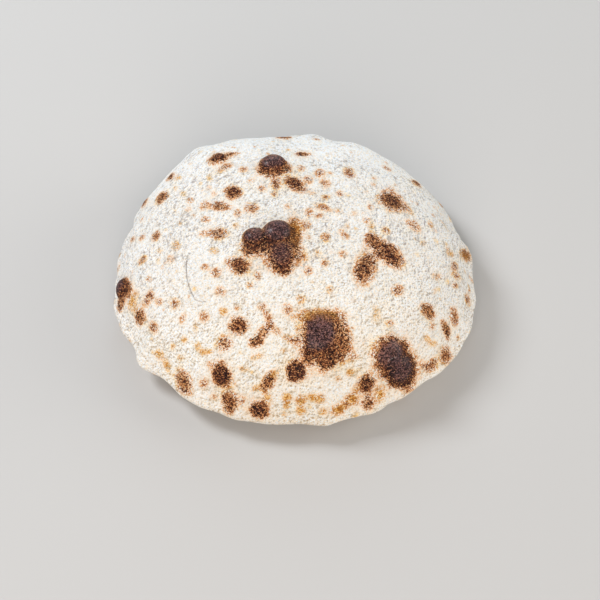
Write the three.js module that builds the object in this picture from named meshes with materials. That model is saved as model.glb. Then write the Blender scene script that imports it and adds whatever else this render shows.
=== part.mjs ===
// A sourdough pita, puffed by the oven: a round pocket bread with a domed top crust, an uneven
// sealed seam round its rim and a flat patch underneath that it rests on. It is uncut, so it is
// one solid. Millimetres, +Z up, the middle of its base at the origin.

import * as THREE from 'three';

// Main sizes
const RIM_RADIUS = 85; // middle to seam, before the seam's lobes
const CROWN_RISE = 41; // seam to the top of the dome
const SEAM_HEIGHT = 11; // table to seam
const CRUST_COLOUR = 0xe9dfd2;
const CRUST_ROUGHNESS = 0.92;

// Side view of the top crust from crown to seam, as shares of RIM_RADIUS and CROWN_RISE
const TOP_SIDE = [
  [0, 1], [0.22, 0.985], [0.44, 0.915], [0.64, 0.775], [0.8, 0.575],
  [0.905, 0.345], [0.957, 0.16], [0.988, 0.055], [1, 0],
];

// Side view of the lower crust from seam to flat base, as shares of RIM_RADIUS and SEAM_HEIGHT
const LOWER_SIDE = [
  [1, 0], [0.994, -0.17], [0.972, -0.4], [0.925, -0.65], [0.84, -0.88], [0.73, -0.98], [0.62, -1],
];

// The seam's lobes: where the dough spread further, or was held back
const LOBES = [
  { bearing: 8, spread: 6, out: 1 },
  { bearing: 19, spread: 5, out: -2 },
  { bearing: 90, spread: 30, out: -1 },
  { bearing: 152, spread: 6, out: 2.2 },
  { bearing: 197, spread: 8, out: 2.2 },
  { bearing: 217, spread: 5, out: 2.6 },
  { bearing: 240, spread: 9, out: 1.5 },
  { bearing: 256, spread: 6, out: 0.8 },
  { bearing: 271, spread: 4, out: -1.2 },
  { bearing: 281, spread: 7, out: 0.8 },
  { bearing: 304, spread: 8, out: 1.2 },
  { bearing: 322, spread: 9, out: 1.5 },
  { bearing: 342, spread: 16, out: 2.6 },
  { bearing: 359, spread: 5, out: -1.4 },
];
const LOBE_FADE = 5; // power of the share of the radius by which lobes die away up the dome

// Fine scallops that run all the way round the seam
const SCALLOPS = [
  { waves: 23, out: 0.3, start: 1 },
  { waves: 37, out: 0.2, start: 2.5 },
];

// Broad puffs of the top crust, where steam lifted it more than elsewhere, or less
const PUFFS = [
  { x: -45, y: 53, radius: 29, rise: 9.4 },
  { x: 6, y: 66, radius: 12, rise: 2.5 },
  { x: 32, y: 62, radius: 13, rise: 3.4 },
  { x: 70, y: 24, radius: 14, rise: -1 },
];
const PUFF_FADE = 8; // height above the seam over which a puff dies away

// Shallow waves over the whole top crust
const WAVES = [
  { length: 31, heading: 20, depth: 0.35 },
  { length: 23, heading: 95, depth: 0.3 },
  { length: 17, heading: 150, depth: 0.2 },
];

// Raised blisters: bearing round the bread, reach along the crust from crown (0) to seam (1)
const BLISTERS = [
  { bearing: 211, reach: 0.22, radius: 6.5, rise: 3.4 }, // twin blister, small half
  { bearing: 234, reach: 0.12, radius: 9, rise: 4.2 }, // twin blister, large half
  { bearing: 255, reach: 0.22, radius: 10, rise: 2.2 }, // twin blister, its foot
  { bearing: 106, reach: 0.37, radius: 8.5, rise: 5 }, // back
  { bearing: 132, reach: 0.54, radius: 7.5, rise: 3.6 }, // back left
  { bearing: 280, reach: 0.58, radius: 13, rise: 3.2 }, // front
  { bearing: 304, reach: 0.77, radius: 11, rise: 3 }, // front right, upper half
  { bearing: 306, reach: 0.86, radius: 10, rise: 2.6 }, // front right, lower half
  { bearing: 191, reach: 0.9, radius: 6.5, rise: 3.2 }, // left, just above the seam
  { bearing: 220, reach: 0.46, radius: 13, rise: 0.9 }, // pale thin-skinned bubble
];

// How finely the crust is divided
const TOP_RINGS = 37;
const SIDES_STEP = 6; // each ring of the top has this many more sides than the one inside it
const RING_CROWDING = 0.45; // how far the rings crowd towards the seam
const LOWER_RINGS = 7;
const BASE_RINGS = 3;

function sideCurve(shares, width, height) {
  return new THREE.SplineCurve(shares.map(([across, up]) => new THREE.Vector2(across * width, up * height)));
}

const topCurve = sideCurve(TOP_SIDE, RIM_RADIUS, CROWN_RISE);
const lowerCurve = sideCurve(LOWER_SIDE, RIM_RADIUS, SEAM_HEIGHT);

const FULL_TURN = 2 * Math.PI;

// Signed angle in degrees from one bearing to another, by the shorter way round
function turnBetween(from, to) {
  return THREE.MathUtils.euclideanModulo(to - from + 180, 360) - 180;
}

function bell(distance, halfWidth) {
  return Math.exp(-((distance / halfWidth) ** 2));
}

// The seam's distance from the middle at a bearing in radians
function seamRadius(bearing) {
  let radius = RIM_RADIUS;
  for (const { bearing: middle, spread, out } of LOBES) {
    radius += out * bell(turnBetween(middle, THREE.MathUtils.radToDeg(bearing)), spread);
  }
  for (const { waves, out, start } of SCALLOPS) {
    radius += out * Math.sin(waves * bearing + start);
  }
  return radius;
}

function crustLift(x, y) {
  let lift = 0;
  for (const puff of PUFFS) {
    lift += puff.rise * bell(Math.hypot(x - puff.x, y - puff.y), puff.radius);
  }
  for (const { length, heading, depth } of WAVES) {
    const angle = THREE.MathUtils.degToRad(heading);
    const along = x * Math.cos(angle) + y * Math.sin(angle);
    lift += depth * Math.sin((FULL_TURN * along) / length);
  }
  return lift;
}

// A point of the side view, turned to this bearing and moved with the seam's lobes where it is near them
function sweep(side, bearing) {
  const nearSeam = (side.x / RIM_RADIUS) ** LOBE_FADE;
  const radius = side.x + (seamRadius(bearing) - RIM_RADIUS) * nearSeam;
  return new THREE.Vector3(radius * Math.cos(bearing), radius * Math.sin(bearing), SEAM_HEIGHT + side.y);
}

function topPoint(reach, bearing) {
  const side = topCurve.getPointAt(reach);
  const point = sweep(side, bearing);
  point.z += crustLift(point.x, point.y) * Math.min(1, side.y / PUFF_FADE);
  return point;
}

function lowerPoint(reach, bearing) {
  return sweep(lowerCurve.getPointAt(reach), bearing);
}

function basePoint(share, bearing) {
  const edge = lowerPoint(1, bearing);
  return new THREE.Vector3(edge.x * share, edge.y * share, edge.z);
}

// Rings of points from the crown, over the seam and in to the middle of the base
function crustRings() {
  const rings = [];
  const addRing = (sides, pointAt) => {
    const ring = [];
    for (let side = 0; side < sides; side += 1) {
      ring.push(pointAt((FULL_TURN * side) / sides));
    }
    rings.push(ring);
  };
  addRing(1, (bearing) => topPoint(0, bearing));
  for (let i = 1; i <= TOP_RINGS; i += 1) {
    const even = i / TOP_RINGS;
    const reach = (1 - RING_CROWDING) * even + RING_CROWDING * Math.sin((FULL_TURN / 4) * even);
    addRing(SIDES_STEP * i, (bearing) => topPoint(reach, bearing));
  }
  const innerRings = LOWER_RINGS + BASE_RINGS;
  const ringSides = (i) => Math.round((SIDES_STEP * TOP_RINGS * (innerRings - i)) / innerRings);
  for (let i = 1; i <= LOWER_RINGS; i += 1) {
    addRing(ringSides(i), (bearing) => lowerPoint(i / LOWER_RINGS, bearing));
  }
  for (let i = 1; i < BASE_RINGS; i += 1) {
    addRing(ringSides(LOWER_RINGS + i), (bearing) => basePoint(1 - i / BASE_RINGS, bearing));
  }
  addRing(1, (bearing) => basePoint(0, bearing));
  return rings;
}

// Triangles between two neighbouring rings of any number of sides, stepping along both together
function stitch(from, to, triangles) {
  const last = (ring) => (ring.count > 1 ? ring.count : 0);
  const corner = (ring, step) => ring.first + (step % ring.count);
  let i = 0;
  let j = 0;
  while (i < last(from) || j < last(to)) {
    const stepTo = i >= last(from) || (j < last(to) && (j + 1) / to.count <= (i + 1) / from.count);
    if (stepTo) {
      triangles.push(corner(from, i), corner(to, j), corner(to, j + 1));
      j += 1;
    } else {
      triangles.push(corner(from, i), corner(to, j), corner(from, i + 1));
      i += 1;
    }
  }
}

function ringGeometry(rings) {
  const points = rings.flat();
  const triangles = [];
  let first = 0;
  for (let i = 0; i + 1 < rings.length; i += 1) {
    const next = first + rings[i].length;
    stitch({ first, count: rings[i].length }, { first: next, count: rings[i + 1].length }, triangles);
    first = next;
  }
  const geometry = new THREE.BufferGeometry().setFromPoints(points);
  geometry.setIndex(triangles);
  geometry.computeVertexNormals();
  return geometry;
}

// Push the crust out along its own normal into each rounded blister
function raiseBlisters(geometry) {
  const position = geometry.getAttribute('position');
  const normal = geometry.getAttribute('normal');
  const point = new THREE.Vector3();
  const outward = new THREE.Vector3();
  const blisters = BLISTERS.map(({ bearing, reach, radius, rise }) => (
    { middle: topPoint(reach, THREE.MathUtils.degToRad(bearing)), radius, rise }
  ));
  for (let i = 0; i < position.count; i += 1) {
    point.fromBufferAttribute(position, i);
    outward.fromBufferAttribute(normal, i);
    let rise = 0;
    for (const blister of blisters) {
      const share = Math.min(1, point.distanceTo(blister.middle) / blister.radius);
      rise = Math.max(rise, blister.rise * (1 - share ** 3) ** 2);
    }
    point.addScaledVector(outward, rise);
    position.setXYZ(i, point.x, point.y, point.z);
  }
}

// Put the middle of the outline over the origin, with the base at height zero
function standOnOrigin(geometry) {
  geometry.computeBoundingBox();
  const { min, max } = geometry.boundingBox;
  geometry.translate(-(min.x + max.x) / 2, -(min.y + max.y) / 2, -min.z);
  geometry.computeVertexNormals();
}

function makePita() {
  const geometry = ringGeometry(crustRings());
  raiseBlisters(geometry);
  standOnOrigin(geometry);
  const crust = new THREE.MeshStandardMaterial({
    color: CRUST_COLOUR,
    roughness: CRUST_ROUGHNESS,
    metalness: 0,
  });
  const mesh = new THREE.Mesh(geometry, crust);
  mesh.name = 'pita';
  return mesh;
}

const bread = new THREE.Group();
bread.add(makePita());

export default bread;
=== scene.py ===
# %% [markdown]
# # A puffed sourdough pita
# This lesson dresses one round pocket bread that the oven has blown up into a dome. Its crust is pale
# and floury, with scorched blisters, brown freckles and an uneven sealed seam. The plain solid comes
# first, as the frame: everything made here sits exactly where that solid is.

# %% Load the frame
import math
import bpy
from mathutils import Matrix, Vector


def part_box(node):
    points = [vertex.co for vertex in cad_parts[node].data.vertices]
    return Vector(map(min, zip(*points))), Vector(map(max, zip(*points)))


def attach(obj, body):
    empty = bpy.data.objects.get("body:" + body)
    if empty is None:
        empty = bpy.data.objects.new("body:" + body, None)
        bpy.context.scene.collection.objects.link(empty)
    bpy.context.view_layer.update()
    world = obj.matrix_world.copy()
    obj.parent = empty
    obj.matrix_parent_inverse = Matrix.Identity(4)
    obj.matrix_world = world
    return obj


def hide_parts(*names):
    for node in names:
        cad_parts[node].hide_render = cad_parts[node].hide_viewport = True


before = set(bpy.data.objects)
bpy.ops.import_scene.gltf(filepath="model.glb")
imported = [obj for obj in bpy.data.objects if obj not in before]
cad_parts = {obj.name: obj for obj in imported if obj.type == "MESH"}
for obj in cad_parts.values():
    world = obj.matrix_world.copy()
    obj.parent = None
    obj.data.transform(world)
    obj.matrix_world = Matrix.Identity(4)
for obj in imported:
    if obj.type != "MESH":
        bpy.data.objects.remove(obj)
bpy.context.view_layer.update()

from types import SimpleNamespace

import bpy
import numpy as np
from mathutils import Vector, noise

# %% [markdown]
# ## The side view
# Cut through the middle, the bread has a domed top crust and a shallow lower crust that meet at the
# seam. Each is one smooth curve through a few points. A lathe would turn that curve into a perfectly
# round shape, but dough spreads unevenly, so the curve is swept point by point, with a radius of its
# own at every bearing.

# %% Side view of the two crusts
MM = 0.001
RIM_RADIUS = 85 * MM
CROWN_RISE = 41 * MM
SEAM_HEIGHT = 11 * MM
TOP_SIDE = [
    (0, 1), (0.22, 0.985), (0.44, 0.915), (0.64, 0.775), (0.8, 0.575),
    (0.905, 0.345), (0.957, 0.16), (0.988, 0.055), (1, 0),
]
LOWER_SIDE = [
    (1, 0), (0.994, -0.17), (0.972, -0.4), (0.925, -0.65), (0.84, -0.88), (0.73, -0.98), (0.62, -1),
]
CURVE_STEPS = 40


def smooth_side(shares, height):
    """A smooth curve through the points of a side view, as distances across and up."""
    points = np.array(shares) * [RIM_RADIUS, height]
    ends = np.vstack([points[:1], points, points[-1:]])
    t = np.linspace(0, 1, CURVE_STEPS, endpoint=False)[:, None]
    spans = []
    for a, b, c, d in zip(ends, ends[1:], ends[2:], ends[3:]):
        leave = (c - a) / 2
        arrive = (d - b) / 2
        cubic = 2 * b - 2 * c + leave + arrive
        square = 3 * c - 3 * b - 2 * leave - arrive
        spans.append(cubic * t**3 + square * t**2 + leave * t + b)
    return np.vstack(spans + [points[-1:]])


def along(curve, reach):
    """Where the curve is after these shares of its length."""
    steps = np.hypot(*np.diff(curve, axis=0).T)
    share = np.append(0, np.cumsum(steps)) / steps.sum()
    return np.interp(reach, share, curve[:, 0]), np.interp(reach, share, curve[:, 1])


top_curve = smooth_side(TOP_SIDE, CROWN_RISE)
lower_curve = smooth_side(LOWER_SIDE, SEAM_HEIGHT)
top_length = np.hypot(*np.diff(top_curve, axis=0).T).sum()
print(f"crown to seam along the crust: {top_length / MM:.1f} mm")

# %% [markdown]
# ## Lobes, puffs and waves
# The seam bulges where the dough was thicker and draws in where it was held. Steam lifts the top crust
# more in some places than in others. Each bulge is a bell curve with a place, a width and a size, so
# the whole outline is a short list that can be read and changed by hand.

# %% Lobes of the seam, puffs and waves of the top
LOBES = [  # bearing and half width in degrees, how far out in mm
    (8, 6, 1), (19, 5, -2), (90, 30, -1), (152, 6, 2.2), (197, 8, 2.2), (217, 5, 2.6), (240, 9, 1.5),
    (256, 6, 0.8), (271, 4, -1.2), (281, 7, 0.8), (304, 8, 1.2), (322, 9, 1.5), (342, 16, 2.6),
    (359, 5, -1.4),
]
SCALLOPS = [(23, 0.3, 1), (37, 0.2, 2.5)]  # waves round the seam, how far out in mm, where they start
PUFFS = [  # x, y, radius and rise in mm
    (-45, 53, 29, 9.4), (6, 66, 12, 2.5), (32, 62, 13, 3.4), (70, 24, 14, -1),
]
WAVES = [(31, 20, 0.35), (23, 95, 0.3), (17, 150, 0.2)]  # length in mm, heading in degrees, depth in mm
LOBE_FADE = 5
PUFF_FADE = 8 * MM


def bell(distance, half_width):
    return np.exp(-((distance / half_width) ** 2))


def lobes_at(bearing, lobes):
    """How far these lobes push the seam out at a bearing."""
    out = np.zeros_like(bearing)
    for middle, half_width, size in lobes:
        turn = (np.degrees(bearing) - middle + 180) % 360 - 180
        out += size * MM * bell(turn, half_width)
    return out


def puffs_at(x, y, puffs):
    """How much these puffs lift the crust at a place."""
    lift = np.zeros_like(x)
    for middle_x, middle_y, radius, rise in puffs:
        lift += rise * MM * bell(np.hypot(x - middle_x * MM, y - middle_y * MM), radius * MM)
    return lift


print(len(LOBES), "lobes,", len(PUFFS), "puffs,", len(WAVES), "waves")

# %% Sweep the side view round the bread
def seam_spread(bearing):
    """How far the seam stands out past its plain circle."""
    out = lobes_at(bearing, LOBES)
    for waves, size, start in SCALLOPS:
        out += size * MM * np.sin(waves * bearing + start)
    return out


def crust_lift(x, y):
    """How much higher the top crust is than its plain dome."""
    lift = puffs_at(x, y, PUFFS)
    for length, heading, depth in WAVES:
        angle = math.radians(heading)
        onward = x * math.cos(angle) + y * math.sin(angle)
        lift += depth * MM * np.sin(math.tau * onward / (length * MM))
    return lift


def sweep(across, up, bearing):
    """A point of the side view at each bearing, moved with the seam's lobes where it is near them."""
    radius = across + seam_spread(bearing) * (across / RIM_RADIUS) ** LOBE_FADE
    height = np.full_like(radius, SEAM_HEIGHT + up)
    return np.stack([radius * np.cos(bearing), radius * np.sin(bearing), height], 1)


def top_points(reach, bearing):
    across, up = along(top_curve, reach)
    points = sweep(across, up, bearing)
    points[:, 2] += crust_lift(points[:, 0], points[:, 1]) * min(1, up / PUFF_FADE)
    return points


def lower_points(reach, bearing):
    across, up = along(lower_curve, reach)
    return sweep(across, up, bearing)


def base_points(share, bearing):
    return lower_points(1, bearing) * [share, share, 1]


seam = RIM_RADIUS + seam_spread(np.linspace(0, math.tau, 360))
print(f"seam from {seam.min() / MM:.1f} to {seam.max() / MM:.1f} mm out from the middle")

# %% [markdown]
# ## Rings of points
# A mesh of squares would pinch at the crown. Here each ring of the top crust has six points more than
# the ring inside it, so the triangles keep nearly the same size from the crown to the seam. They are
# under a millimetre, so that they can hold the pebbles of the crust.

# %% Make the rings
TOP_RINGS = 165
LOWER_RINGS = 20
BASE_RINGS = 6
SIDES_STEP = 6
RING_CROWDING = 0.25


def make_rings():
    """A plan of rings from the crown over the seam to the middle of the base, and their points."""
    plan = [(top_points, 0, 1)]
    for i in range(1, TOP_RINGS + 1):
        even = i / TOP_RINGS
        reach = (1 - RING_CROWDING) * even + RING_CROWDING * math.sin(math.pi / 2 * even)
        plan.append((top_points, reach, SIDES_STEP * i))
    below = LOWER_RINGS + BASE_RINGS
    for i in range(1, below):
        sides = round(SIDES_STEP * TOP_RINGS * (below - i) / below)
        if i <= LOWER_RINGS:
            plan.append((lower_points, i / LOWER_RINGS, sides))
        else:
            plan.append((base_points, (below - i) / BASE_RINGS, sides))
    plan.append((base_points, 0, 1))
    return plan, [place(reach, np.arange(sides) * math.tau / sides) for place, reach, sides in plan]


def stitch(first, count, next_count):
    """Triangles between a ring that starts at this point and the next ring."""
    second = first + count
    ends = [n if n > 1 else 0 for n in (count, next_count)]
    i = 0
    j = 0
    triangles = []
    while i < ends[0] or j < ends[1]:
        here = first + i % count
        there = second + j % next_count
        if i >= ends[0] or (j < ends[1] and (j + 1) / next_count <= (i + 1) / count):
            j += 1
            triangles.append((here, there, second + j % next_count))
        else:
            i += 1
            triangles.append((here, there, first + i % count))
    return triangles


plan, rings = make_rings()
counts = [len(ring) for ring in rings]
starts = np.append(0, np.cumsum(counts))
points = np.vstack(rings)
faces = [face for n in range(len(counts) - 1) for face in stitch(int(starts[n]), counts[n], counts[n + 1])]
print(f"{len(points)} points, {len(faces)} triangles")

# %% [markdown]
# ## Blisters
# Where the dough was thin, steam blew it up into small domes that scorched first. They are pushed out
# along the crust's own normals, so the ones on the steep side lean out as real ones do. A texture
# alone would look flat near the outline.

# %% Blow out the blisters and fit the solid's box
BLISTERS = [  # bearing in degrees, reach from crown to seam, radius and rise in mm, heat
    (211, 0.208, 6, 3.4, 0.66), (227.3, 0.114, 7.6, 4.4, 0.66), (255, 0.22, 9.5, 2.2, 0.2),
    (106, 0.368, 7, 3.9, 0.66), (132, 0.54, 3.9, 1.5, 0.3), (280, 0.58, 12, 3.2, 0),
    (304, 0.77, 10, 3, 0), (306, 0.86, 9, 2.6, 0), (190.3, 0.9, 5.4, 2.8, 0.66),
    (220, 0.46, 13, 0.9, 0),
]
BLISTER_ROUNDNESS = 3
BLISTER_STEEPNESS = 1.25
BLISTER_HEAT_EDGE = 8


def normals_of(points):
    """Outward directions of the crust at every point."""
    corners = points[triangles]
    flat = np.cross(corners[:, 1] - corners[:, 0], corners[:, 2] - corners[:, 0])
    total = np.zeros_like(points)
    for corner in range(3):
        np.add.at(total, triangles[:, corner], flat)
    return total / np.linalg.norm(total, axis=1)[:, None]


def blister_relief(points):
    """How far each point is blown out, and how hot its blister got."""
    rise = np.zeros(len(points))
    heat = np.zeros(len(points))
    for bearing, reach, radius, height, peak in BLISTERS:
        middle = top_points(reach, np.array([math.radians(bearing)]))
        share = np.minimum(1, np.linalg.norm(points - middle, axis=1) / (radius * MM))
        rise = np.maximum(rise, height * MM * (1 - share**BLISTER_ROUNDNESS) ** BLISTER_STEEPNESS)
        heat = np.maximum(heat, peak * (1 - share**BLISTER_HEAT_EDGE))
    return rise, heat


triangles = np.array(faces)
smooth_normals = normals_of(points)
blister_rise, blister_heat = blister_relief(points)
points = points + smooth_normals * blister_rise[:, None]

low, high = (np.array(corner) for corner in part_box("pita"))
stretch = (high - low) / np.ptp(points, axis=0)
points = low + (points - points.min(0)) * stretch
print("fitted to the solid's box, scale:", stretch.round(4))

# %% [markdown]
# ## Knocks and dimples
# Handling left small knocks along the seam and dimples on the back of the top crust. They are a
# millimetre or so, so the solid leaves them out. They are laid on after the fit, whose scale they
# would change.

# %% Small knocks that the solid leaves out
KNOCKS = [  # bearing and half width in degrees, how far out in mm
    (14.5, 2.5, -0.6), (23, 2.5, 0.6), (28.5, 2.5, -0.6), (145.5, 4, -0.9), (158.5, 3.2, -0.9),
    (166.8, 3, 0.8), (215.6, 3, 0.7), (223, 3.5, -1), (276.8, 4, 1.1), (282.5, 3, -0.5), (294, 4, 1.4),
    (300, 3, -1.5), (311.8, 4, -0.9), (324.5, 4, 0.9), (336.5, 4, 0.8), (346, 5, -0.9),
]
DIMPLES = [  # x, y, radius, rise in mm
    (-48, 57, 5.5, 1.5), (-41, 59.5, 4.5, -1.2), (-20, 68, 5, -1), (-7, 70, 3.5, -1.1), (9, 70, 5, 1.1),
    (18.8, 70.5, 5, -1.6),
]

radius = np.hypot(points[:, 0], points[:, 1])
knock = lobes_at(np.arctan2(points[:, 1], points[:, 0]), KNOCKS) * (radius / RIM_RADIUS) ** LOBE_FADE
above_seam = np.clip((points[:, 2] - SEAM_HEIGHT) / PUFF_FADE, 0, 1)
dimple = puffs_at(points[:, 0], points[:, 1], DIMPLES) * above_seam
points[:, :2] *= 1 + (knock / np.maximum(radius, MM))[:, None]
points[:, 2] += dimple
print(f"knocks from {knock.min() / MM:.1f} to {knock.max() / MM:.1f} mm,",
      f"dimples from {dimple.min() / MM:.1f} to {dimple.max() / MM:.1f} mm")

# %% [markdown]
# ## The camera
# The photograph looks down at about fifty degrees from in front. The camera is made early because the
# scorch marks are read off the photograph in its own pixels, and those pixels have to be carried back
# onto the crust through the same lens.

# %% Camera at the photograph's angle
PHOTO_SIZE = 600
VIEW_HEIGHT = math.radians(50)
VIEW_DISTANCE = 0.72
PIXELS_PER_METRE = 2120
BREAD_MIDDLE = Vector((0, 0, 0.02))
MIDDLE_PIXEL = (295.5, 263.5)
SENSOR = 36

toward_camera = Vector((0, -math.cos(VIEW_HEIGHT), math.sin(VIEW_HEIGHT)))
image_up = toward_camera.cross(Vector((1, 0, 0)))
aim = BREAD_MIDDLE.copy()
aim.x += (PHOTO_SIZE / 2 - MIDDLE_PIXEL[0]) / PIXELS_PER_METRE
aim -= image_up * ((PHOTO_SIZE / 2 - MIDDLE_PIXEL[1]) / PIXELS_PER_METRE)

camera = bpy.data.objects.new("camera", bpy.data.cameras.new("camera"))
camera.location = BREAD_MIDDLE + toward_camera * VIEW_DISTANCE
camera.rotation_euler = (aim - camera.location).to_track_quat("-Z", "Y").to_euler()
camera.data.sensor_width = SENSOR
camera.data.lens = SENSOR * PIXELS_PER_METRE * VIEW_DISTANCE / PHOTO_SIZE
bpy.context.scene.collection.objects.link(camera)
bpy.context.scene.camera = camera
bpy.context.view_layer.update()

eye = np.array(camera.location)
right, up, back = np.array(camera.matrix_world.to_3x3()).T
FOCAL_PIXELS = PIXELS_PER_METRE * VIEW_DISTANCE


def photo_pixels(points):
    """The photograph's pixel for each point."""
    seen = points - eye
    depth = -(seen @ back)
    return PHOTO_SIZE / 2 + FOCAL_PIXELS * np.stack([seen @ right, -(seen @ up)], 1) / depth[:, None]


pixels = photo_pixels(points)
facing = ((eye - points) * normals_of(points)).sum(1) / VIEW_DISTANCE
shown = facing > 0
print("bread in the picture:", pixels[shown].min(0).round(1), "to", pixels[shown].max(0).round(1))

# %% [markdown]
# ## Scorch marks
# Each mark was read off: its middle, its half width and half height in the photograph's pixels, its
# turn, and how hot it got, from a tan freckle to black char. A mark is laid on the crust's tangent
# plane and undoes the foreshortening, so it stays round-edged from every side. A painted picture could
# hold the marks too, but storing them in the mesh as one value, how far it is scorched, leaves the
# colours to the finish.

# %% Charred and scorched marks: x, y, half width, half height, turn in degrees, heat
CHARRED = [
    # the twin blister: its two halves, the groove between them and its foot
    (253, 243, 12, 9.5, 0, 0.5), (267, 245, 8, 10, 0, 0.56), (279, 240, 13.5, 18, 0, 0.6),
    (281, 259, 11.5, 15, 0, 0.72),
    # the back blister, and the flat one to its left
    (273, 164, 14, 7, 0, 0.56), (219, 156.5, 8.5, 3.6, -10, 0.68),
    # the broad front mark: the whole, its dark middle, its lower end and its left end
    (326, 337, 26, 28, 0, 0.49), (319, 335, 15, 19, 0, 0.76), (328, 357, 10.5, 14, 0, 0.55),
    (310, 351, 8, 9, 0, 0.55),
    # the front right blister, its upper and lower half
    (393.5, 356.5, 17.3, 19.5, 0, 0.78), (404.3, 372, 18, 20, 0, 0.97),
    # the left blister, and three round marks at the front
    (122.5, 288, 6, 9, 0, 0.75), (221, 374.5, 9.3, 12.6, -12, 0.88), (259.5, 409, 10, 9, 0, 0.85),
    (295.5, 371, 10, 11, 0, 0.79),
]
SCORCHED = [
    (252, 248, 11, 6.5, 0, 0.5), (293, 239, 6.5, 17, 0, 0.8), (263, 169, 6.5, 4, 0, 0.6),
    (286, 167, 7, 5, 25, 0.4), (230, 154.5, 8, 1.8, -8, 0.5), (211, 162, 4, 4, -40, 0.35),
    (344, 346, 8, 13, 0, 0.3), (306, 361, 6, 3.5, -30, 0.42), (338, 317, 6, 5, 0, 0.12),
    (404, 346, 5.5, 6, 0, 0.68), (410, 384, 7, 7, -20, 0.12), (391, 338, 5, 4, 0, 0.25),
    (121, 303, 4, 9, 10, 0.56), (391.5, 201.5, 14, 8, 25, 0.76), (408, 210, 7, 4, 35, 0.16),
    (373, 240.5, 8.5, 7, 40, 0.55), (380.5, 246.5, 7, 6.5, 45, 0.3), (390, 254.5, 15.5, 9.5, 45, 0.68),
    (364, 269.5, 10.5, 17, 15, 0.6), (239.5, 265.5, 9.5, 8, 35, 0.76), (238.5, 326.5, 10, 7.5, 0, 0.76),
    (183.5, 381, 7.8, 13.4, -20, 0.56), (230, 402.5, 7.5, 12, -5, 0.64),
    (268.5, 382.5, 6.5, 9, 30, 0.59), (255.5, 341.5, 7, 5, -30, 0.56), (366, 384, 7.5, 8, 0, 0.84),
    (295, 183.5, 10, 6, 35, 0.76), (233.5, 193, 8.6, 6.6, 0, 0.68), (221.5, 206.5, 10.5, 5, 5, 0.42),
    (219.5, 234, 9.5, 6.5, 0, 0.39), (161.5, 198.5, 4.5, 7.5, 45, 0.62),
    (170.5, 177, 2.5, 4.5, 40, 0.65), (427.5, 311, 6, 8.8, -35, 0.62),
    (445.5, 330, 3.8, 9.5, -15, 0.62), (464, 254, 4.2, 5.5, -20, 0.46), (303.5, 154.5, 7, 2.1, 3, 0.7),
    (416.5, 183.5, 5, 2.5, 35, 0.62), (284, 137.6, 7.5, 1.8, 0, 0.6), (139.5, 317.5, 5, 8, -5, 0.6),
    (144, 203, 2, 5, 35, 0.6),
]
print(len(CHARRED), "charred and", len(SCORCHED), "scorched marks")

# %% Browned, tanned and golden marks, given the same way
BROWNED = [
    (224, 343.5, 7.5, 7, 0, 0.58), (270, 323, 4, 6, 0, 0.46), (263, 333, 7, 4, -40, 0.68),
    (277, 331, 5, 3.5, 30, 0.27), (288, 339, 6.5, 3.5, 20, 0.27), (262, 307, 4, 4, 0, 0.36),
    (266.5, 315, 3.5, 5, -25, 0.32), (295, 340, 6, 4, 0, 0.28), (353.5, 358.5, 4.5, 3, 0, 0.32),
    (307, 226, 5.5, 4, 10, 0.32), (206, 219.5, 5, 3, 0, 0.38), (250.5, 208, 6.5, 5, 0, 0.54),
    (275.5, 184, 4.5, 5.5, 0, 0.54), (275, 194.5, 3, 2.5, 0, 0.42), (225, 168, 8, 3, -28, 0.52),
    (243.5, 169.5, 4, 3, 0, 0.42), (320, 172.5, 5, 4, 0, 0.46), (301, 168.5, 3.5, 3, 0, 0.42),
    (309, 180.5, 4, 3.5, 30, 0.42), (323, 207, 7.5, 3.5, 20, 0.42), (308.5, 212, 4, 4, 0, 0.3),
    (349, 171, 5.5, 4.5, 25, 0.5), (412.5, 225, 7.2, 4.2, 35, 0.46), (397.5, 290, 6, 5, 0, 0.5),
    (455, 266.5, 3.5, 4, 0, 0.5), (456.5, 276.5, 5, 3, 35, 0.42), (467.5, 300, 3, 6, -20, 0.48),
    (454.5, 316, 3.5, 8.5, -12, 0.66), (468.5, 255.5, 2.5, 4, 0, 0.54), (445.5, 356, 6, 7.5, 0, 0.8),
    (433.5, 364.5, 4.5, 6, 20, 0.5), (426.5, 367, 5, 4.5, 0, 0.46), (368, 403.5, 6, 7, 0, 0.62),
    (367, 394, 4, 4, 0, 0.35), (156, 236.5, 3.5, 5, 25, 0.64), (142, 260, 3.2, 6, 40, 0.5),
    (148.5, 299, 4.5, 8, 25, 0.52), (154, 328, 4.5, 5.5, -15, 0.52), (174.5, 303.5, 5.5, 5, 0, 0.4),
    (216, 272, 5, 4.5, 0, 0.48), (204.5, 317, 5, 5.5, -20, 0.36), (326, 237, 4.5, 4.5, 0, 0.46),
    (301, 299, 4, 4, 0, 0.34), (287.5, 309, 5, 5, 0, 0.38), (229, 384, 5, 5.5, 0, 0.14),
    (204, 383.5, 4.5, 5.5, 0, 0.34), (257.5, 277, 3.5, 3.5, 0, 0.44), (345, 236, 4.5, 3.5, 20, 0.28),
    (342, 254, 4.5, 3.5, 20, 0.36), (386, 231, 4.5, 3, 25, 0.42), (383, 376, 6, 5, 45, 0.1),
]
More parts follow.
